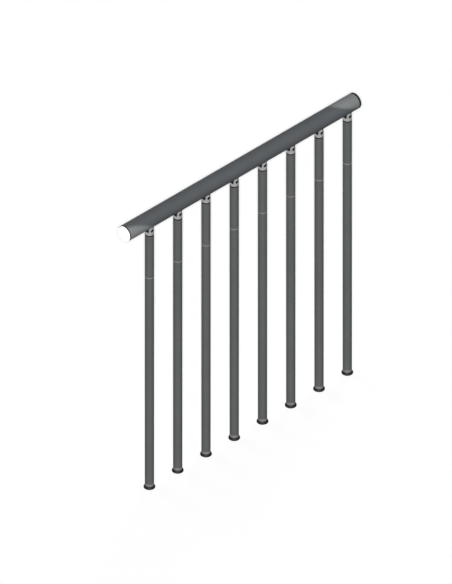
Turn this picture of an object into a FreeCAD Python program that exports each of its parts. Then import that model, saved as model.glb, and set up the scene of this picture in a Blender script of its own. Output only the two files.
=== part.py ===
import FreeCAD, Part
import Sketcher
import math
import os

# Stair landing balustrade: a round handrail carried by a row of round balusters.
# Frame: +Z up, +X along the rail from its joint end to its capped end, -Y the front.
# Origin: centre of the underside of the first baluster's foot. Lengths in millimetres.

doc = FreeCAD.newDocument("landing_balustrade")
sheet = doc.addObject("Spreadsheet::Sheet", "dims")

SIZES = [
    ("baluster_count", 8, "balusters in the row"),
    ("baluster_pitch", 120, "centre to centre, leaves gaps under 100"),
    ("rail_axis_height", 984, "floor to the middle of the handrail"),
    ("rail_diameter", 52, "outside of the handrail tube"),
    ("rail_wall", 2, "wall of the handrail tube"),
    ("rail_lead", 108, "rail before the first baluster, joint end"),
    ("rail_tail", 27, "rail past the last baluster, capped end"),
    ("joint_depth", 60, "socket bored in the joint end of the rail"),
    ("joint_relief", 0.5, "radial widening of that socket"),
    ("edge_break", 0.5, "chamfer where two pieces meet in a fine line"),
    ("lead_chamfer", 1, "lead-in of each spigot"),
    ("cap_thickness", 8, "end cap disc"),
    ("cap_edge", 2, "rounding of the end cap's rim"),
    ("cap_spigot_length", 22, "end cap spigot inside the rail"),
    ("cap_spigot_wall", 3, "wall of that hollow spigot"),
    ("cap_spigot_clearance", 0.2, "radial room of the spigot in the rail"),
    ("tube_diameter", 28, "outside of a baluster tube"),
    ("tube_wall", 2, "wall of a baluster tube"),
    ("line_drop", 152, "tube rim down to the fine ring line"),
    ("line_width", 2, "width of the ring line"),
    ("line_depth", 0.5, "depth of the ring line"),
    ("collar_height", 5, "collar between the tube's rim and the fork"),
    ("collar_clearance", 0.15, "radial room of the fork's shank in the collar"),
    ("shank_length", 40, "fork shank inside the collar and the tube"),
    ("shank_clearance", 0.1, "radial room of the shank in the tube"),
    ("fork_base_height", 2, "top of the collar up to the lowest point of the fork's slot"),
    ("fork_shoulder", 6.8, "round part of the fork above the collar"),
    ("ear_step", 5, "how far each side of an ear narrows from the round part"),
    ("ear_crown", 3, "rounding of the fork's top, seen along the rail"),
    ("ear_rail_gap", 1.5, "top of the ears to the underside of the rail"),
    ("lug_thickness", 12.4, "welded lug under the rail, across the rail"),
    ("lug_width", 25, "welded lug along the rail; its lower end is a half round"),
    ("lug_side_clearance", 0.3, "lug to each cheek of the slot"),
    ("lug_end_clearance", 0.8, "round end of the lug to the hollow floor of the slot"),
    ("screw_diameter", 6, "pivot screw"),
    ("screw_clearance", 0.15, "radial room round the pivot screw"),
    ("head_diameter", 12.5, "button head of the screw"),
    ("head_height", 3.3, "button head"),
    ("head_rim", 0.6, "upright rim of the button head"),
    ("head_crown", 7, "flat in the middle of the button head"),
    ("head_dome", 4, "curve from that flat to the rim"),
    ("head_recess", 0.5, "screw head below the fork's outside"),
    ("head_clearance", 0.3, "radial room round the screw head"),
    ("socket_flats", 4, "hexagon socket across flats"),
    ("socket_depth", 2, "hexagon socket"),
    ("tip_recess", 0.5, "screw tip below the fork's outside"),
    ("tip_chamfer", 0.6, "end of the screw"),
    ("foot_height", 16.5, "floor to the lower end of the tube"),
    ("foot_edge", 0.5, "chamfers at the floor"),
    ("foot_spigot_length", 30, "foot spigot inside the tube"),
    ("foot_spigot_clearance", 0.1, "radial room of that spigot"),
    ("stud_hole_diameter", 6.8, "tapped hole for a floor stud"),
    ("stud_hole_depth", 14, "depth of the tapped hole"),
    ("rosette_diameter", 35.5, "cover ring round the foot"),
    ("rosette_height", 9.2, "cover ring"),
    ("rosette_rim_height", 3, "upright rim of the cover ring"),
    ("rosette_lip", 1, "top edge of the cover ring outside the foot"),
    ("rosette_edge", 0.6, "chamfer of that top edge"),
    ("rosette_clearance", 0.15, "radial room between cover ring and foot"),
]

for row, (alias, value, meaning) in enumerate(SIZES, start=1):
    sheet.set(f"A{row}", str(value))
    sheet.setAlias(f"A{row}", alias)
    sheet.set(f"B{row}", meaning)
doc.recompute()

# Levels that several pieces share, written once as sums of the sizes above.
TUBE_R = "dims.tube_diameter / 2"
TUBE_BORE_R = "(dims.tube_diameter / 2 - dims.tube_wall)"
RAIL_R = "dims.rail_diameter / 2"
RAIL_BORE_R = "(dims.rail_diameter / 2 - dims.rail_wall)"
EAR_R = "(dims.tube_diameter / 2 - dims.ear_step)"
PIVOT_DROP = f"({EAR_R} + dims.ear_rail_gap)"
LUG_R = "dims.lug_width / 2"
SLOT_R = "(dims.lug_width / 2 + dims.lug_end_clearance)"
PIVOT_RISE = f"(dims.fork_base_height + {SLOT_R})"
PIVOT_HEIGHT = f"(dims.rail_axis_height - {RAIL_R} - {PIVOT_DROP})"
FORK_HEIGHT = f"({PIVOT_HEIGHT} - {PIVOT_RISE})"
RIM_HEIGHT = f"({FORK_HEIGHT} - dims.collar_height)"
SHANK_R = f"({TUBE_BORE_R} - dims.shank_clearance)"
TUBE_LENGTH = f"({RIM_HEIGHT} - dims.foot_height)"
SLOT_WIDTH = "(dims.lug_thickness + 2 * dims.lug_side_clearance)"
HEAD_SEAT = "(dims.tube_diameter / 2 - dims.head_recess - dims.head_height)"
HEAD_FACE = f"({HEAD_SEAT} + dims.head_height)"
RAIL_LENGTH = "(dims.rail_lead + dims.rail_tail + (dims.baluster_count - 1) * dims.baluster_pitch)"

# How far a cutting outline reaches past the piece it cuts; not a size of the object.
BEYOND = "2"


def number(expression):
    """Value of an expression with the sizes as they stand."""
    return float(sheet.evalExpression(expression))


def new_body(label, x="0", z="0"):
    """Empty body whose place along the row and above the floor follows the sizes."""
    body = doc.addObject("PartDesign::Body", label)
    body.Label = label
    body.setExpression("Placement.Base.x", x)
    body.setExpression("Placement.Base.z", z)
    return body


def new_sketch(body, plane, offset=None):
    """Sketch on one of the body's own planes, moved along its normal if asked."""
    sketch = body.newObject("Sketcher::SketchObject", f"{body.Name}_sketch")
    support = next(f for f in body.Origin.OriginFeatures if f.Role == plane)
    sketch.AttachmentSupport = [(support, "")]
    sketch.MapMode = "FlatFace"
    if offset is not None:
        sketch.setExpression("AttachmentOffset.Base.z", offset)
    return sketch


def tie(sketch, constraint, name, expression):
    """Adds a dimension to a sketch and ties it to the sizes."""
    index = sketch.addConstraint(constraint)
    sketch.renameConstraint(index, name)
    sketch.setExpression(f"Constraints.{name}", expression)


def place_point(sketch, edge, end, name, across, up):
    """Ties one point of a sketch to its two coordinates."""
    for kind, axis, letter, expression in (("DistanceX", -2, "a", across), ("DistanceY", -1, "b", up)):
        if expression == "0":
            sketch.addConstraint(Sketcher.Constraint("PointOnObject", edge, end, axis))
        else:
            rule = Sketcher.Constraint(kind, -1, 1, edge, end, number(expression))
            tie(sketch, rule, f"{letter}{name}", expression)


def arc_between(start, finish, radius):
    """Arc from start to finish that bends left for a plus radius, right for a minus one."""
    chord = finish - start
    middle = (start + finish) * 0.5
    side = FreeCAD.Vector(-chord.y, chord.x, 0).normalize()
    away = math.sqrt(max(radius * radius - chord.Length ** 2 / 4, 0))
    centre = middle + side * math.copysign(away, radius)
    first, last = (start, finish) if radius > 0 else (finish, start)
    begin = math.atan2(first.y - centre.y, first.x - centre.x)
    end = math.atan2(last.y - centre.y, last.x - centre.x)
    circle = Part.Circle(centre, FreeCAD.Vector(0, 0, 1), abs(radius))
    return Part.ArcOfCircle(circle, begin, end)


def draw_outline(sketch, corners):
    """Closed outline. A corner is (across, up); a third entry (side, radius) makes
    the edge that leaves it an arc bending to that side."""
    points = [FreeCAD.Vector(number(c[0]), number(c[1]), 0) for c in corners]
    ends = []
    for i, corner in enumerate(corners):
        start = points[i]
        finish = points[(i + 1) % len(points)]
        if len(corner) == 3:
            side, radius = corner[2]
            value = number(radius)
            edge = sketch.addGeometry(arc_between(start, finish, value if side == "left" else -value))
            ends.append((edge, 1, 2) if side == "left" else (edge, 2, 1))
        else:
            edge = sketch.addGeometry(Part.LineSegment(start, finish))
            ends.append((edge, 1, 2))
    for i, corner in enumerate(corners):
        edge, first, last = ends[i]
        following, next_first, _ = ends[(i + 1) % len(ends)]
        sketch.addConstraint(Sketcher.Constraint("Coincident", edge, last, following, next_first))
        place_point(sketch, edge, first, str(i), corner[0], corner[1])
        if len(corner) == 3:
            radius = corner[2][1]
            tie(sketch, Sketcher.Constraint("Radius", edge, number(radius)), f"r{i}", radius)


def draw_circle(sketch, name, across, up, radius):
    """Circle tied to its centre and radius."""
    centre = FreeCAD.Vector(number(across), number(up), 0)
    edge = sketch.addGeometry(Part.Circle(centre, FreeCAD.Vector(0, 0, 1), number(radius)))
    place_point(sketch, edge, 3, name, across, up)
    tie(sketch, Sketcher.Constraint("Radius", edge, number(radius)), f"r{name}", radius)


def add_feature(body, kind, sketch):
    """Feature made from a sketch; it becomes the end of the body's history."""
    feature = body.newObject(f"PartDesign::{kind}", f"{body.Name}_{kind.lower()}")
    feature.Profile = sketch
    sketch.Visibility = False
    body.Tip = feature
    return feature


def revolve(body, plane, axis, corners):
    """Turned piece: an outline swept once round an axis of its sketch."""
    sketch = new_sketch(body, plane)
    draw_outline(sketch, corners)
    feature = add_feature(body, "Revolution", sketch)
    feature.ReferenceAxis = (sketch, [axis])
    feature.Angle = 360


def cut_through(body, sketch):
    """Cut both ways through the whole piece."""
    feature = add_feature(body, "Pocket", sketch)
    feature.SideType = "Symmetric"
    feature.Type = "ThroughAll"


def make_handrail():
    """Round tube, bored out at its open joint end, both outer edges broken."""
    body = new_body("handrail", "-dims.rail_lead", "dims.rail_axis_height")
    socket_r = f"({RAIL_BORE_R} + dims.joint_relief)"
    edge_r = f"({RAIL_R} - dims.edge_break)"
    revolve(body, "XZ_Plane", "H_Axis", [
        ("0", socket_r),
        ("dims.joint_depth", socket_r),
        ("dims.joint_depth", RAIL_BORE_R),
        (RAIL_LENGTH, RAIL_BORE_R),
        (RAIL_LENGTH, edge_r),
        (f"{RAIL_LENGTH} - dims.edge_break", RAIL_R),
        ("dims.edge_break", RAIL_R),
        ("0", edge_r),
    ])
    return body


def make_end_cap():
    """Disc with a rounded rim and a hollow spigot that plugs the rail."""
    body = new_body("handrail_end_cap", f"{RAIL_LENGTH} - dims.rail_lead", "dims.rail_axis_height")
    spigot_r = f"({RAIL_BORE_R} - dims.cap_spigot_clearance)"
    inner_r = f"({spigot_r} - dims.cap_spigot_wall)"
    revolve(body, "XZ_Plane", "H_Axis", [
        ("dims.cap_thickness", "0"),
        ("dims.cap_thickness", f"{RAIL_R} - dims.cap_edge", ("left", "dims.cap_edge")),
        ("dims.cap_thickness - dims.cap_edge", RAIL_R),
        ("dims.edge_break", RAIL_R),
        ("0", f"{RAIL_R} - dims.edge_break"),
        ("0", spigot_r),
        ("dims.lead_chamfer - dims.cap_spigot_length", spigot_r),
        ("-dims.cap_spigot_length", f"{spigot_r} - dims.lead_chamfer"),
        ("-dims.cap_spigot_length", inner_r),
        ("0", inner_r),
        ("0", "0"),
    ])
    return body


def make_tube(index, x):
    """Baluster tube with one fine ring line below its upper end."""
    body = new_body(f"baluster_tube_{index}", x, "dims.foot_height")
    line = f"({TUBE_LENGTH} - dims.line_drop)"
    revolve(body, "XZ_Plane", "V_Axis", [
        (TUBE_BORE_R, "0"),
        (f"{TUBE_R} - dims.edge_break", "0"),
        (TUBE_R, "dims.edge_break"),
        (TUBE_R, f"{line} - dims.line_width / 2"),
        (f"{TUBE_R} - dims.line_depth", line),
        (TUBE_R, f"{line} + dims.line_width / 2"),
        (TUBE_R, f"{TUBE_LENGTH} - dims.edge_break"),
        (f"{TUBE_R} - dims.edge_break", TUBE_LENGTH),
        (TUBE_BORE_R, TUBE_LENGTH),
    ])
    return body


def make_collar(index, x):
    """Ring between the tube's rim and the fork, round the fork's shank."""
    body = new_body(f"collar_{index}", x, RIM_HEIGHT)
    bore_r = f"({SHANK_R} + dims.collar_clearance)"
    edge_r = f"({TUBE_R} - dims.edge_break)"
    revolve(body, "XZ_Plane", "V_Axis", [
        (bore_r, "0"),
        (edge_r, "0"),
        (TUBE_R, "dims.edge_break"),
        (TUBE_R, "dims.collar_height - dims.edge_break"),
        (edge_r, "dims.collar_height"),
        (bore_r, "dims.collar_height"),
    ])
    return body


def make_fork(index, x):
    """Knuckle half on the tube: turned blank, waisted ears, slot and stepped screw hole.
    Each side of an ear is one hollow curve that ends upright at the height of the pivot,
    and the slot's floor is hollow about the pivot, so the round lug can turn in it."""
    body = new_body(f"baluster_fork_{index}", x, FORK_HEIGHT)
    top = f"({PIVOT_RISE} + {EAR_R})"
    revolve(body, "XZ_Plane", "V_Axis", [
        ("0", "-dims.shank_length"),
        (f"{SHANK_R} - dims.lead_chamfer", "-dims.shank_length"),
        (SHANK_R, "dims.lead_chamfer - dims.shank_length"),
        (SHANK_R, "0"),
        (f"{TUBE_R} - dims.edge_break", "0"),
        (TUBE_R, "dims.edge_break"),
        (TUBE_R, f"{top} - dims.ear_crown", ("left", "dims.ear_crown")),
        (f"{TUBE_R} - dims.ear_crown", top),
        ("0", top),
    ])
    ears = new_sketch(body, "XZ_Plane")
    flank_rise = f"({PIVOT_RISE} - dims.fork_shoulder)"
    flank_r = f"({flank_rise} ^ 2 + dims.ear_step ^ 2) / (2 * dims.ear_step)"
    draw_outline(ears, [
        (f"-{TUBE_R}", "dims.fork_shoulder", ("left", flank_r)),
        (f"-{EAR_R}", PIVOT_RISE, ("right", EAR_R)),
        ("0", top, ("right", EAR_R)),
        (EAR_R, PIVOT_RISE, ("left", flank_r)),
        (TUBE_R, "dims.fork_shoulder"),
        (f"{TUBE_R} + {BEYOND}", "dims.fork_shoulder"),
        (f"{TUBE_R} + {BEYOND}", f"{top} + {BEYOND}"),
        (f"-{TUBE_R} - {BEYOND}", f"{top} + {BEYOND}"),
        (f"-{TUBE_R} - {BEYOND}", "dims.fork_shoulder"),
    ])
    cut_through(body, ears)
    slot = new_sketch(body, "XZ_Plane")
    slot_reach = f"({SLOT_R} + {TUBE_R})"
    draw_outline(slot, [
        (f"-{SLOT_R}", PIVOT_RISE, ("left", SLOT_R)),
        ("0", "dims.fork_base_height", ("left", SLOT_R)),
        (SLOT_R, PIVOT_RISE),
        (slot_reach, PIVOT_RISE),
        (slot_reach, f"{top} + {BEYOND}"),
        (f"-{slot_reach}", f"{top} + {BEYOND}"),
        (f"-{slot_reach}", PIVOT_RISE),
    ])
    slot_cut = add_feature(body, "Pocket", slot)
    slot_cut.SideType = "Symmetric"
    slot_cut.setExpression("Length", SLOT_WIDTH)
    hole = new_sketch(body, "XZ_Plane")
    draw_circle(hole, "pivot", "0", PIVOT_RISE, "dims.screw_diameter / 2 + dims.screw_clearance")
    cut_through(body, hole)
    seat = new_sketch(body, "XZ_Plane", HEAD_SEAT)
    draw_circle(seat, "seat", "0", PIVOT_RISE, "dims.head_diameter / 2 + dims.head_clearance")
    seat_cut = add_feature(body, "Pocket", seat)
    seat_cut.Reversed = True
    seat_cut.setExpression("Length", "dims.tube_diameter")
    return body


def make_lug(index, x):
    """Knuckle half under the rail: lug, half round about the pivot, saddled to the rail."""
    body = new_body(f"lug_{index}", x, PIVOT_HEIGHT)
    top = f"({PIVOT_DROP} + {RAIL_R} / 2)"
    outline = new_sketch(body, "XZ_Plane")
    draw_outline(outline, [
        (f"-{LUG_R}", "0", ("left", LUG_R)),
        ("0", f"-{LUG_R}", ("left", LUG_R)),
        (LUG_R, "0"),
        (LUG_R, top),
        (f"-{LUG_R}", top),
    ])
    draw_circle(outline, "pivot", "0", "0", "dims.screw_diameter / 2 + dims.screw_clearance")
    pad = add_feature(body, "Pad", outline)
    pad.SideType = "Symmetric"
    pad.setExpression("Length", "dims.lug_thickness")
    saddle = new_sketch(body, "YZ_Plane")
    draw_circle(saddle, "rail", "0", f"{PIVOT_DROP} + {RAIL_R}", RAIL_R)
    cut_through(body, saddle)
    return body


def make_screw(index, x):
    """Button head pivot screw, its head on the front of the fork."""
    body = new_body(f"pivot_screw_{index}", x, PIVOT_HEIGHT)
    shaft_r = "dims.screw_diameter / 2"
    head_r = "dims.head_diameter / 2"
    tip = f"({TUBE_R} - dims.tip_recess)"
    revolve(body, "YZ_Plane", "H_Axis", [
        (f"-{HEAD_FACE}", "0"),
        (tip, "0"),
        (tip, f"{shaft_r} - dims.tip_chamfer"),
        (f"{tip} - dims.tip_chamfer", shaft_r),
        (f"-{HEAD_SEAT}", shaft_r),
        (f"-{HEAD_SEAT}", head_r),
        (f"-{HEAD_SEAT} - dims.head_rim", head_r, ("left", "dims.head_dome")),
        (f"-{HEAD_FACE}", "dims.head_crown / 2"),
    ])
    socket = new_sketch(body, "XZ_Plane", HEAD_FACE)
    corner_r = "dims.socket_flats / sqrt(3)"
    half = "dims.socket_flats / 2"
    draw_outline(socket, [
        ("0", f"-{corner_r}"),
        (half, f"-{corner_r} / 2"),
        (half, f"{corner_r} / 2"),
        ("0", corner_r),
        (f"-{half}", f"{corner_r} / 2"),
        (f"-{half}", f"-{corner_r} / 2"),
    ])
    recess = add_feature(body, "Pocket", socket)
    recess.setExpression("Length", "dims.socket_depth")
    return body


def make_foot(index, x):
    """Turned foot: neck below the tube, spigot inside it, tapped from below."""
    body = new_body(f"baluster_foot_{index}", x)
    spigot_r = f"({TUBE_BORE_R} - dims.foot_spigot_clearance)"
    end = "(dims.foot_height + dims.foot_spigot_length)"
    revolve(body, "XZ_Plane", "V_Axis", [
        ("dims.stud_hole_diameter / 2", "0"),
        (f"{TUBE_R} - dims.foot_edge", "0"),
        (TUBE_R, "dims.foot_edge"),
        (TUBE_R, "dims.foot_height - dims.edge_break"),
        (f"{TUBE_R} - dims.edge_break", "dims.foot_height"),
        (spigot_r, "dims.foot_height"),
        (spigot_r, f"{end} - dims.lead_chamfer"),
        (f"{spigot_r} - dims.lead_chamfer", end),
        ("0", end),
        ("0", "dims.stud_hole_depth"),
        ("dims.stud_hole_diameter / 2", "dims.stud_hole_depth"),
    ])
    return body


def make_rosette(index, x):
    """Moulded cover ring that flares from the foot's neck out to the floor."""
    body = new_body(f"foot_rosette_{index}", x)
    bore_r = f"({TUBE_R} + dims.rosette_clearance)"
    lip_r = f"({TUBE_R} + dims.rosette_lip)"
    rim_r = "dims.rosette_diameter / 2"
    revolve(body, "XZ_Plane", "V_Axis", [
        (bore_r, "0"),
        (f"{rim_r} - dims.foot_edge", "0"),
        (rim_r, "dims.foot_edge"),
        (rim_r, "dims.rosette_rim_height"),
        (lip_r, "dims.rosette_height - dims.rosette_edge"),
        (f"{lip_r} - dims.rosette_edge", "dims.rosette_height"),
        (bore_r, "dims.rosette_height"),
    ])
    return body


pieces = [make_handrail(), make_end_cap()]
lugs = []
collars = []
for index in range(1, int(number("dims.baluster_count")) + 1):
    x = f"{index - 1} * dims.baluster_pitch"
    lugs.append(make_lug(index, x))
    collars.append(make_collar(index, x))
    for make in (make_foot, make_rosette, make_tube, make_fork, make_screw):
        pieces.append(make(index, x))

# The lugs are alike and so are the collars: each row of them makes one named piece.
rows = []
for label, members in (("handrail_lugs", lugs), ("tube_collars", collars)):
    row = doc.addObject("Part::Compound", label)
    row.Label = label
    row.Links = members
    rows.append(row)
doc.recompute()

for item in doc.Objects:
    if "Invalid" in item.State or "Error" in item.State:
        raise RuntimeError(f"{item.Label} did not build: {item.State}")
for piece in pieces + lugs + collars:
    if piece.Shape.isNull() or not piece.Shape.isValid() or len(piece.Shape.Solids) != 1:
        raise RuntimeError(f"{piece.Label} is not one valid solid")
pieces.extend(rows)

os.makedirs("parts", exist_ok=True)
for piece in pieces:
    piece.Shape.exportStep(f"parts/{piece.Label}.step")
    print(piece.Label, round(piece.Shape.Volume), "cubic mm")
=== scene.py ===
# %% [markdown]
# A landing balustrade: one round handrail on a row of slim round balusters.
# The solid pieces come from the CAD model at their real size, in metres, with +Z up
# and +X along the rail. This lesson gives them their finishes, adds the weld beads
# that hold the rail's lugs, and sets up the camera, the floor and the light.

# %% Load the solid model and measure it
import math

import bmesh
import bpy
from mathutils import Matrix, Vector


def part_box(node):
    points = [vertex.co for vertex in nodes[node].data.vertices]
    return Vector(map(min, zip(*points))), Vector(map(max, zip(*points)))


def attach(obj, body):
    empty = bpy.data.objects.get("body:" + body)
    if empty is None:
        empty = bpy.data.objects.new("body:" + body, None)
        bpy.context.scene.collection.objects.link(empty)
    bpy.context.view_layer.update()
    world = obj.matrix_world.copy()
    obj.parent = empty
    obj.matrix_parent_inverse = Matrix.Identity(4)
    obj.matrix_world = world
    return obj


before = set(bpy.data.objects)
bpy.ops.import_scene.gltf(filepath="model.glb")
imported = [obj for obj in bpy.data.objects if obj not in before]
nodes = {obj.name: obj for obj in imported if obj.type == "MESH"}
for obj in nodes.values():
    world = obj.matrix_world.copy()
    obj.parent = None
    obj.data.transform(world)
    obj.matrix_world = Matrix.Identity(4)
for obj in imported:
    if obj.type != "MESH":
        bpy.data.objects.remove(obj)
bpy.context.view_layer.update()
count = sum(name.startswith("baluster_tube_") for name in nodes)


def node_box(name):
    low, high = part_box(name)
    return Vector(low), Vector(high)


rail_low, rail_high = node_box("handrail")
rail_axis_z = (rail_low.z + rail_high.z) / 2
rail_radius = (rail_high.z - rail_low.z) / 2
tube_low, tube_high = node_box("baluster_tube_1")
tube_radius = (tube_high.x - tube_low.x) / 2
print(f"{count} balusters, rail {rail_radius * 2000:.0f} mm, tubes {tube_radius * 2000:.0f} mm")

# %% [markdown]
# The picture is an isometric drawing: the three axes are equally foreshortened and
# parallel lines stay parallel. An orthographic camera looking down one diagonal of a
# cube gives exactly that. One known point, the first foot, fixes where the frame lies.

# %% Isometric camera
PICTURE_SIZE = (452, 584)
PIXELS_PER_METRE = 333.1
FIRST_FOOT_PIXEL = (149.44, 486.8)
CAMERA_DISTANCE = 4

to_camera = Vector((-1, -1, 1)).normalized()
right = Vector((1, -1, 0)).normalized()
up = to_camera.cross(right)
across = (PICTURE_SIZE[0] / 2 - FIRST_FOOT_PIXEL[0]) / PIXELS_PER_METRE
above = (FIRST_FOOT_PIXEL[1] - PICTURE_SIZE[1] / 2) / PIXELS_PER_METRE
middle = right * across + up * above

camera_data = bpy.data.cameras.new("camera")
camera_data.type = "ORTHO"
camera_data.sensor_fit = "VERTICAL"
camera_data.ortho_scale = PICTURE_SIZE[1] / PIXELS_PER_METRE
camera = bpy.data.objects.new("camera", camera_data)
turn = Matrix((right, up, to_camera)).transposed()
camera.matrix_world = Matrix.Translation(middle + to_camera * CAMERA_DISTANCE) @ turn.to_4x4()
bpy.context.scene.collection.objects.link(camera)
bpy.context.scene.camera = camera
print("camera frame height in metres:", round(camera_data.ortho_scale, 3))

# %% [markdown]
# A finish is a small graph of shader nodes. Writing it as Python expressions keeps it
# readable: a Wire stands for one value in the graph, and adding or multiplying wires
# adds the Math nodes. Every other node comes from one method, Graph.node.

# %% A small class for shader values


class Wire:
    """One shader value; Python operators on it add Math nodes."""

    def __init__(self, graph, socket):
        self.graph = graph
        self.socket = socket

    def math(self, operation, first, second=0.0):
        settings = {"operation": operation}
        return self.graph.node("ShaderNodeMath", settings, {0: first, 1: second})

    def __add__(self, other):
        return self.math("ADD", self, other)

    def __radd__(self, other):
        return self.math("ADD", other, self)

    def __sub__(self, other):
        return self.math("SUBTRACT", self, other)

    def __rsub__(self, other):
        return self.math("SUBTRACT", other, self)

    def __mul__(self, other):
        return self.math("MULTIPLY", self, other)

    def __rmul__(self, other):
        return self.math("MULTIPLY", other, self)

    def __abs__(self):
        return self.math("ABSOLUTE", self)

    def __pow__(self, other):
        return self.math("POWER", self, other)


class Graph:
    """A tree of shader nodes that is being written."""

    def __init__(self, tree):
        self.tree = tree

    def node(self, kind, settings=None, sockets=None, output=0):
        made = self.tree.nodes.new(kind)
        for name, value in (settings or {}).items():
            setattr(made, name, value)
        for name, value in (sockets or {}).items():
            self.feed(made.inputs[name], value)
        return Wire(self, made.outputs[output])

    def feed(self, socket, value):
        if isinstance(value, Wire):
            self.tree.links.new(value.socket, socket)
        else:
            socket.default_value = value


# %% [markdown]
# A material adds what every finish here needs: noise of a real size in metres, the
# coordinates of the surface point, soft steps, blends of two colours and fine bumps.

# %% A class for finishes


class Finish(Graph):
    """A material that is being written, with its Principled shader."""

    def __init__(self, name):
        self.material = bpy.data.materials.new(name)
        self.material.use_nodes = True
        super().__init__(self.material.node_tree)
        self.shader = self.tree.nodes["Principled BSDF"]
        self.place = self.node("ShaderNodeTexCoord", output="Object")

    def surface(self, **values):
        for name, value in values.items():
            self.feed(self.shader.inputs[name.replace("_", " ")], value)
        return self.material

    def noise(self, size, detail):
        """Cloudy values around 0.5 whose lumps are about size metres across."""
        sockets = {"Vector": self.place, "Scale": 1 / size, "Detail": detail}
        return self.node("ShaderNodeTexNoise", None, sockets)

    def along(self, axis):
        """One coordinate of the surface point, in metres."""
        return self.node("ShaderNodeSeparateXYZ", None, {0: self.place}, axis)

    def band(self, value, edge, soft):
        """0 below edge, 1 above it, with a soft step."""
        settings = {"interpolation_type": "SMOOTHSTEP"}
        sockets = {"Value": value, "From Min": edge - soft, "From Max": edge + soft}
        return self.node("ShaderNodeMapRange", settings, sockets)

    def blend(self, amount, low, high):
        """Colour that goes from low to high as amount goes from 0 to 1."""
        settings = {"data_type": "RGBA", "blend_type": "MIX"}
        return self.node("ShaderNodeMix", settings, {0: amount, 6: low, 7: high}, 2)

    def bump(self, height, distance):
        """Normal of a surface that rises by up to distance metres where height is 1."""
        sockets = {"Height": height, "Distance": distance, "Strength": 1.0}
        return self.node("ShaderNodeBump", None, sockets)


def grey(value, less_red=0.0, more_blue=0.0):
    """A neutral colour, made cooler by shares of red and blue if asked."""
    return (value * (1 - less_red), value, value * (1 + more_blue), 1)


# %% [markdown]
# The handrail and balusters are powder coated steel: a satin skin with a faint orange
# peel. Fine noise gives the peel, a broad noise keeps long tubes from looking like one
# flat colour, and sharp rims show a little bare metal where the coat has worn through.

# %% Powder coat
MOTTLE = 0.16
PEEL_DEPTH = 0.00009
BARE_METAL = grey(0.3)
SATIN_SHINE = 0.25


def powder_coat(name, tone, less_red, more_blue):
    """Starts a coat; gives the finish, its colour, its bumps and its roughness."""
    finish = Finish(name)
    cloud = finish.noise(0.09, 3)
    speck = finish.noise(0.0011, 2)
    peel = finish.noise(0.0028, 2)
    pebble = finish.noise(0.0007, 1)
    mottle = cloud * 0.6 + speck * 0.4
    dark = grey(tone * (1 - MOTTLE), less_red, more_blue)
    light = grey(tone * (1 + MOTTLE), less_red, more_blue)
    colour = finish.blend(mottle, dark, light)
    skin = finish.bump(peel * 0.7 + pebble * 0.3, PEEL_DEPTH)
    return finish, colour, skin, 0.46 + 0.14 * cloud


def worn_rim(finish, distance, width):
    """Flecks of wear within a width of an edge, from the distance to that edge."""
    flecks = finish.band(finish.noise(0.0025, 3), 0.52, 0.06)
    return flecks * (1 - finish.band(abs(distance), width, width / 2))


# %% [markdown]
# The rail is coated outside only. Inside it, and on the cut face of its open end, the
# tube shows pale zinc. The distance from the rail's axis tells the two apart. Where the
# tube was sawn, the edge of the coat is sealed with a narrow band of darker paint.

# %% Coat of the rail, zinc inside it
RAIL_TONE = 0.089
COAT_DEPTH = 0.0007
SEAL_WIDTH = 0.0042
CUT_WEAR = 0.0006
rail_coat, colour, skin, rough = powder_coat("rail_powder_coat", RAIL_TONE, 0.077, 0.055)
y = rail_coat.along(1)
z = rail_coat.along(2) - rail_axis_z
inside = 1 - rail_coat.band((y * y + z * z) ** 0.5, rail_radius - COAT_DEPTH, 0.0002)
zinc = rail_coat.blend(rail_coat.noise(0.006, 4), grey(0.72), grey(0.86))
cut = rail_coat.along(0) - rail_low.x
sealed = rail_coat.blend(rail_coat.band(cut, SEAL_WIDTH, 0.0004), grey(0.012), colour)
wear = worn_rim(rail_coat, cut, CUT_WEAR)
coated = rail_coat.blend(wear * 0.5, sealed, BARE_METAL)
rail_material = rail_coat.surface(
    Base_Color=rail_coat.blend(inside, coated, zinc),
    Roughness=rough,
    Metallic=0.0,
    Specular_IOR_Level=SATIN_SHINE,
    Normal=skin,
)
print("coat of the rail starts at radius", round(rail_radius - COAT_DEPTH, 4), "m")

# %% [markdown]
# Each tube carries one fine ring line, a scored groove some way below its upper rim.
# The line is painted lighter than the coat: a painted highlight for the light that the
# groove's edge catches.

# %% Coat of the tubes, with the ring line's painted highlight
TUBE_TONE = 0.093
# Colour of the ring line's painted highlight.
LINE_HIGHLIGHT_TONE = 0.24
RING_LINE_DROP = 0.152
RING_LINE_HALF = 0.0011
RIM_WEAR = 0.0012
tube_coat, colour, skin, rough = powder_coat("tube_powder_coat", TUBE_TONE, 0.05, 0.013)
ring_z = tube_high.z - RING_LINE_DROP
height = tube_coat.along(2)
# Mask of the ring line, where the painted highlight goes.
line = 1 - tube_coat.band(abs(height - ring_z), RING_LINE_HALF, 0.0003)
wear = worn_rim(tube_coat, height - tube_high.z, RIM_WEAR)
coated = tube_coat.blend(wear * 0.3, colour, BARE_METAL)
tube_material = tube_coat.surface(
    # The ring line takes its painted highlight colour here.
    Base_Color=tube_coat.blend(line, coated, grey(LINE_HIGHLIGHT_TONE)),
    Roughness=rough,
    Metallic=0.0,
    Specular_IOR_Level=SATIN_SHINE,
    Normal=skin,
)
print("ring line at", round(ring_z, 4), "m")

# %% [markdown]
# Forks and feet are cast alloy, turned where they meet the tubes: softly shining, with
# a fine sandy skin and close turning marks round the axis. The feet are a darker grey
# than the forks.

# %% Cast and turned alloy
TURNING_SCALE = 1300.0
SAND_DEPTH = 0.00004


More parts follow.
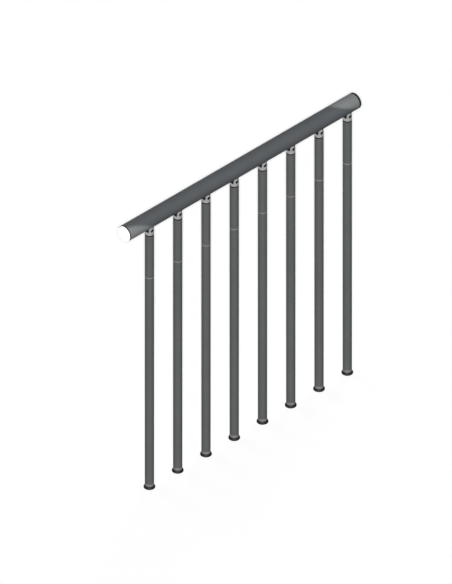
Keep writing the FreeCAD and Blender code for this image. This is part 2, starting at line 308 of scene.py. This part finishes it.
def cast_alloy(name, low, high):
    """Alloy whose grey wanders between a low and a high tone."""
    finish = Finish(name)
    sand = finish.noise(0.0006, 3)
    cloud = finish.noise(0.012, 3)
    turning = finish.node("ShaderNodeTexWave", {"bands_direction": "Z"},
                          {"Vector": finish.place, "Scale": TURNING_SCALE, "Distortion": 0.4})
    return finish.surface(
        Base_Color=finish.blend(cloud * 0.5 + sand * 0.5, grey(low), grey(high)),
        Roughness=0.42 + 0.16 * sand,
        Metallic=0.25,
        Specular_IOR_Level=0.4,
        Normal=finish.bump(sand * 0.7 + turning * 0.3, SAND_DEPTH),
    )


fork_material = cast_alloy("fork_alloy", 0.33, 0.43)
foot_material = cast_alloy("foot_alloy", 0.17, 0.25)
print("alloys:", fork_material.name, foot_material.name)

# %% [markdown]
# The cover rings at the floor, the collars on the tubes and the cap of the rail are
# moulded black plastic with a fine eroded grain. On the collars the black is also painted
# shade, standing for the shadow in the joint where each tube meets its fork. Floor dust
# greys the lowest edge of the cover rings. Lugs are lacquered black, a black that is also
# painted shade in the slot between each fork's ears. The screws are blackened steel,
# rubbed bright in specks where a key has turned them.

# %% Black plastic and black lacquer, both partly painted shade, and blackened steel
DUST_HEIGHT = 0.0012
DUST_COLOUR = (0.11, 0.1, 0.09, 1)
# This black plastic also dresses the collars, where its black is painted shade for the joint
# between tube and fork.
plastic = Finish("moulded_black_plastic_and_painted_shade")
grain = plastic.noise(0.0005, 2)
cloud = plastic.noise(0.02, 3)
low_down = 1 - plastic.band(plastic.along(2), DUST_HEIGHT, 0.001)
dust = low_down * plastic.band(cloud, 0.5, 0.12)
colour = plastic.blend(grain * 0.5 + cloud * 0.5, grey(0.008), grey(0.016))
black_plastic_and_shade_material = plastic.surface(
    Base_Color=plastic.blend(dust * 0.3, colour, DUST_COLOUR),
    Roughness=0.5 + 0.16 * grain,
    Metallic=0.0,
    Specular_IOR_Level=SATIN_SHINE,
    Normal=plastic.bump(grain, 0.00005),
)

# Black lacquer for the lugs and their welds; its black is also painted shade for the dark slot
# between each fork's ears.
lacquer = Finish("lug_black_lacquer_and_painted_shade")
brush = lacquer.noise(0.002, 3)
black_lacquer_and_shade_material = lacquer.surface(
    Base_Color=lacquer.blend(brush, grey(0.006), grey(0.016)),
    Roughness=0.4 + 0.2 * brush,
    Metallic=0.0,
    Specular_IOR_Level=SATIN_SHINE,
    Normal=lacquer.bump(brush, 0.00008),
)

steel = Finish("screw_black_steel")
grain = steel.noise(0.0009, 3)
rubbed = steel.band(steel.noise(0.0013, 4), 0.7, 0.05)
black = steel.blend(grain, grey(0.003), grey(0.009))
screw_material = steel.surface(
    Base_Color=steel.blend(rubbed * 0.3, black, grey(0.1)),
    Roughness=0.45 + 0.2 * grain,
    Metallic=0.0,
    Specular_IOR_Level=0.2,
    Normal=steel.bump(grain, 0.00002),
)
print("blacks:", black_plastic_and_shade_material.name, black_lacquer_and_shade_material.name, screw_material.name)

# %% [markdown]
# Every solid piece is named for its kind, with a number where there are several, so one
# table of kinds gives all of them their finish. The first kind that a name starts with
# counts, so the cap and the lugs stand before the handrail itself.

# %% Give every solid piece its finish
FINISHES = {
    "handrail_end_cap": black_plastic_and_shade_material,
    # The lugs' black lacquer is also painted shade in the slot of each fork.
    "handrail_lugs": black_lacquer_and_shade_material,
    "handrail": rail_material,
    # The collars' black is painted shade for the shadow in the joint between tube and fork.
    "tube_collars": black_plastic_and_shade_material,
    "baluster_tube": tube_material,
    "baluster_fork": fork_material,
    "baluster_foot": foot_material,
    "foot_rosette": black_plastic_and_shade_material,
    "pivot_screw": screw_material,
}
for name, piece in nodes.items():
    kind = next(k for k in FINISHES if name.startswith(k))
    for slot in piece.material_slots:
        slot.material = FINISHES[kind]
print("finished", len(nodes), "solid pieces")

# %% [markdown]
# The lugs are welded all round to the underside of the rail. The seam runs round the lug
# as seen from above, a rectangle with small rounded corners, and follows the curve of the
# rail. Walking along its straights and quarter turns gives evenly spaced points.

# %% Route of one weld seam
WELD_RADIUS = 0.0011
WELD_RIPPLE = 0.0014
STEPS_PER_RIPPLE = 4
CORNER = 0.0012

lug_low, lug_high = node_box("handrail_lugs")
half_x = -lug_low.x
half_y = lug_high.y


def seam_point(x, y):
    """Point of the seam: on the rail's underside, at a place round the lug."""
    return Vector((x, y, rail_axis_z - math.sqrt(rail_radius ** 2 - y ** 2)))


def seam_plan(distance):
    """Place round the lug, seen from above, at a distance along its rounded edge."""
    run_x = 2 * (half_x - CORNER)
    run_y = 2 * (half_y - CORNER)
    quarter = CORNER * math.pi / 2
    place = Vector((half_x, -half_y + CORNER))
    heading = math.pi / 2
    for length, bends in ((run_y, False), (quarter, True), (run_x, False), (quarter, True)) * 2:
        part = min(distance, length)
        if bends:
            end = heading + part / CORNER
            step_x = math.sin(end) - math.sin(heading)
            step_y = math.cos(heading) - math.cos(end)
            place += CORNER * Vector((step_x, step_y))
            heading = end
        else:
            place += part * Vector((math.cos(heading), math.sin(heading)))
        distance -= part
        if distance <= 0:
            break
    return place


seam_length = 4 * (half_x + half_y - 2 * CORNER) + 2 * math.pi * CORNER
ripples = round(seam_length / WELD_RIPPLE)
steps = ripples * STEPS_PER_RIPPLE
seam = [seam_point(*seam_plan(i * seam_length / steps)) for i in range(steps)]
print(f"one seam is {seam_length * 1000:.1f} mm long with {ripples} ripples")

# %% [markdown]
# A weld is a rope of metal with a ripple for every pool that froze. Here a small circle is
# set across the seam at each step along it, larger and smaller in turn, and the circles
# are bridged into a closed bead. One bead is made and copied to every lug.

# %% Bead along the seam, copied to every lug
WELD_SIDES = 8
RIPPLE_SWELL = 0.13
pitch = node_box("baluster_tube_2")[0].x - tube_low.x
bead = bmesh.new()
rings = []
for i, point in enumerate(seam):
    ahead = seam[(i + 1) % steps] - seam[i - 1]
    facing = ahead.to_track_quat("Z", "Y").to_matrix().to_4x4()
    size = WELD_RADIUS * (1 + RIPPLE_SWELL * math.cos(2 * math.pi * i / STEPS_PER_RIPPLE))
    made = bmesh.ops.create_circle(bead, segments=WELD_SIDES, radius=size,
                                   matrix=Matrix.Translation(point) @ facing)
    rings.append({edge for vert in made["verts"] for edge in vert.link_edges})
for i in range(steps):
    bmesh.ops.bridge_loops(bead, edges=list(rings[i] | rings[(i + 1) % steps]))
one_bead = bead.verts[:] + bead.edges[:] + bead.faces[:]
for i in range(1, count):
    copy = bmesh.ops.duplicate(bead, geom=one_bead)
    verts = [item for item in copy["geom"] if isinstance(item, bmesh.types.BMVert)]
    bmesh.ops.translate(bead, verts=verts, vec=(i * pitch, 0, 0))
bmesh.ops.recalc_face_normals(bead, faces=bead.faces)
for face in bead.faces:
    face.smooth = True
bead_mesh = bpy.data.meshes.new("lug_weld_beads")
bead.to_mesh(bead_mesh)
bead.free()
welds = bpy.data.objects.new("lug_weld_beads", bead_mesh)
bpy.context.scene.collection.objects.link(welds)
# The beads take the lugs' black lacquer, the same black that is painted shade in the slots.
welds.data.materials.append(black_lacquer_and_shade_material)
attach(welds, "root")
print("weld faces:", len(bead_mesh.polygons))

# %% [markdown]
# A pale matt floor, and a key light that shines the way the camera looks: surfaces that
# turn away from the viewer darken, so the round pieces keep crisp edges, and shadows
# fall behind what casts them. The floor glows like a light table, so those shadows stay
# pale, but it throws no light back up, which would wash the edges out. Two soft lights
# from the far side, one towards each end of the rail, and a dim sky fill the rest.

# %% Floor, key and fills
FLOOR_HALF = 9
FLOOR_TONE = 0.52
FLOOR_GLOW = 0.475
KEY_STRENGTH = 4.4
FILLS = {
    "cap_side_fill": ((0.91, 0.42, 0.0), 2.6),
    "open_side_fill": ((-0.09, 0.99, 0.0), 2.2),
}
floor_mesh = bpy.data.meshes.new("floor")
shape = bmesh.new()
bmesh.ops.create_grid(shape, x_segments=1, y_segments=1, size=FLOOR_HALF)
shape.to_mesh(floor_mesh)
shape.free()
floor = bpy.data.objects.new("floor", floor_mesh)
bpy.context.scene.collection.objects.link(floor)
floor.visible_diffuse = False
floor.visible_glossy = False
paper = Finish("floor_pale")
floor_mesh.materials.append(paper.surface(
    Base_Color=grey(FLOOR_TONE),
    Roughness=0.9,
    Specular_IOR_Level=0.1,
    Emission_Color=grey(1.0),
    Emission_Strength=FLOOR_GLOW,
))


def add_light(name, kind, towards, energy):
    """Light that shines from a direction; gives its settings and its object."""
    data = bpy.data.lights.new(name, kind)
    data.energy = energy
    light = bpy.data.objects.new(name, data)
    light.rotation_euler = Vector(towards).to_track_quat("Z", "Y").to_euler()
    bpy.context.scene.collection.objects.link(light)
    return data, light


key, _ = add_light("key", "SUN", to_camera, KEY_STRENGTH)
key.angle = math.radians(0.5)
for name, (towards, strength) in FILLS.items():
    fill, fill_light = add_light(name, "SUN", towards, strength)
    fill.angle = math.radians(30)
    fill_light.visible_glossy = False
print("floor", FLOOR_HALF * 2, "m wide, key", KEY_STRENGTH, "and", len(FILLS), "fills")

# %% [markdown]
# Two spots lift the ends of the rail and stop it from reading as one flat bar. Each shines
# the way the camera looks, with the edge of its round beam level across the rail, so it
# leaves a light wedge: below that edge at the open end, above it at the capped end. Light
# linking keeps the spots off everything but the rail. Their warm tint offsets the cool coat.

# %% Accent spots at the rail's ends
ACCENT_REACH = 0.18
ACCENT_DISTANCE = 1.5
ACCENT_COLOUR = (1.0, 0.94, 0.89)
ACCENT_BLEND = 0.06
ACCENT_SOURCE = 0.005
OPEN_END_EDGE = 0.026
OPEN_END_SHIFT = 0.04
OPEN_END_POWER = 170
CAPPED_END_EDGE = -0.031
CAPPED_END_SHIFT = -0.03
CAPPED_END_POWER = 145

lit_by_accents = bpy.data.collections.new("lit_by_accents")
lit_by_accents.objects.link(nodes["handrail"])


def accent(name, centre, energy):
    """Spot on the rail whose beam is centred on a point."""
    data, light = add_light(name, "SPOT", to_camera, energy)
    data.color = ACCENT_COLOUR
    data.spot_size = 2 * math.atan(ACCENT_REACH / ACCENT_DISTANCE)
    data.spot_blend = ACCENT_BLEND
    data.shadow_soft_size = ACCENT_SOURCE
    light.location = centre + to_camera * ACCENT_DISTANCE
    light.light_linking.receiver_collection = lit_by_accents


open_end = Vector((rail_low.x, 0, rail_axis_z))
below_edge = right * OPEN_END_SHIFT + up * (OPEN_END_EDGE - ACCENT_REACH)
accent("open_end_accent", open_end + below_edge, OPEN_END_POWER)
capped_end = Vector((rail_high.x, 0, rail_axis_z))
above_edge = right * CAPPED_END_SHIFT + up * (CAPPED_END_EDGE + ACCENT_REACH)
accent("capped_end_accent", capped_end + above_edge, CAPPED_END_POWER)

# %% [markdown]
# The sky lights the shaded sides only dimly, but where it is looked at directly it is as
# white as the floor, so no horizon shows.

# %% Sky
SKY_LIGHT = 0.13
sky = bpy.data.worlds.new("sky")
sky.use_nodes = True
sky_graph = Graph(sky.node_tree)
background = sky.node_tree.nodes["Background"]
looked_at = sky_graph.node("ShaderNodeLightPath", output="Is Camera Ray")
sky_graph.feed(background.inputs["Color"], grey(1.0))
sky_graph.feed(background.inputs["Strength"], SKY_LIGHT + (1 - SKY_LIGHT) * looked_at)
bpy.context.scene.world = sky
bpy.context.scene.view_settings.view_transform = "Standard"
print("sky light", SKY_LIGHT)
